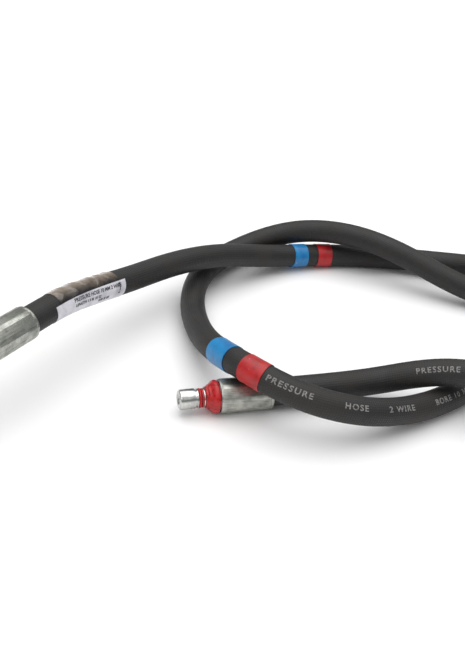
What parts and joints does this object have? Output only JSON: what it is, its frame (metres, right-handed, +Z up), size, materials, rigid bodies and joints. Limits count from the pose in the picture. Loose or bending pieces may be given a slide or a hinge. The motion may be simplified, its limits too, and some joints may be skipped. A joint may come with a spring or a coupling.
{
  "type": "hydraulic hose assembly",
  "caption": "Rubber-covered wire-braid hydraulic hose lying in a loose double loop, with a crimped push-in plug on one end and a crimped elbow with a swivel nut on the other.",
  "frame": {"origin": "on the floor, under the middle of the whole assembly's box", "axes": "+X along the plug's axis, from its nose towards the hose, which is also the long side of the lying coil; +Z up from the floor"},
  "size_m": [0.5682, 0.3249, 0.0606],
  "materials": {
    "cover_rubber": "matt black synthetic rubber with the fine imprint of its curing wrap",
    "inner_rubber": "smooth black nitrile rubber",
    "braid_wire": "braided brass-plated steel wire",
    "zinc_steel": "turned steel, clear zinc plated",
    "zinc_ferrule": "crimped steel, zinc plated, with die marks",
    "red_rubber": "smooth red rubber",
    "seal_rubber": "smooth black nitrile rubber",
    "blue_tape": "blue vinyl tape",
    "red_tape": "red vinyl tape",
    "label_paper": "white self-adhesive label",
    "label_film": "clear wrinkled overlaminate film"
  },
  "bodies": {
    "hose_with_ends": {"hose_inner_tube": "inner_rubber", "hose_inner_braid": "braid_wire", "hose_outer_braid": "braid_wire", "hose_cover": "cover_rubber", "marker_band_blue_plug_side": "blue_tape", "marker_band_red_plug_side": "red_tape", "marker_band_blue_elbow_side": "blue_tape", "marker_band_red_elbow_side": "red_tape", "hose_label": "label_paper", "label_film": "label_film", "plug_insert": "zinc_steel", "plug_ferrule": "zinc_ferrule", "plug_o_ring": "red_rubber", "plug_back_up_ring": "red_rubber", "plug_dust_ring": "red_rubber", "elbow_insert": "zinc_steel", "elbow_ferrule": "zinc_ferrule", "cone_o_ring": "seal_rubber"},
    "nut": {"swivel_nut": "zinc_steel"}
  },
  "joints": [
    {"name": "swivel_nut_turn", "type": "hinge", "parent": "hose_with_ends", "child": "nut", "pos_m": [-0.27198, -0.04054, 0.01], "axis": [0, 0, 1], "continuous": true}
  ]
}
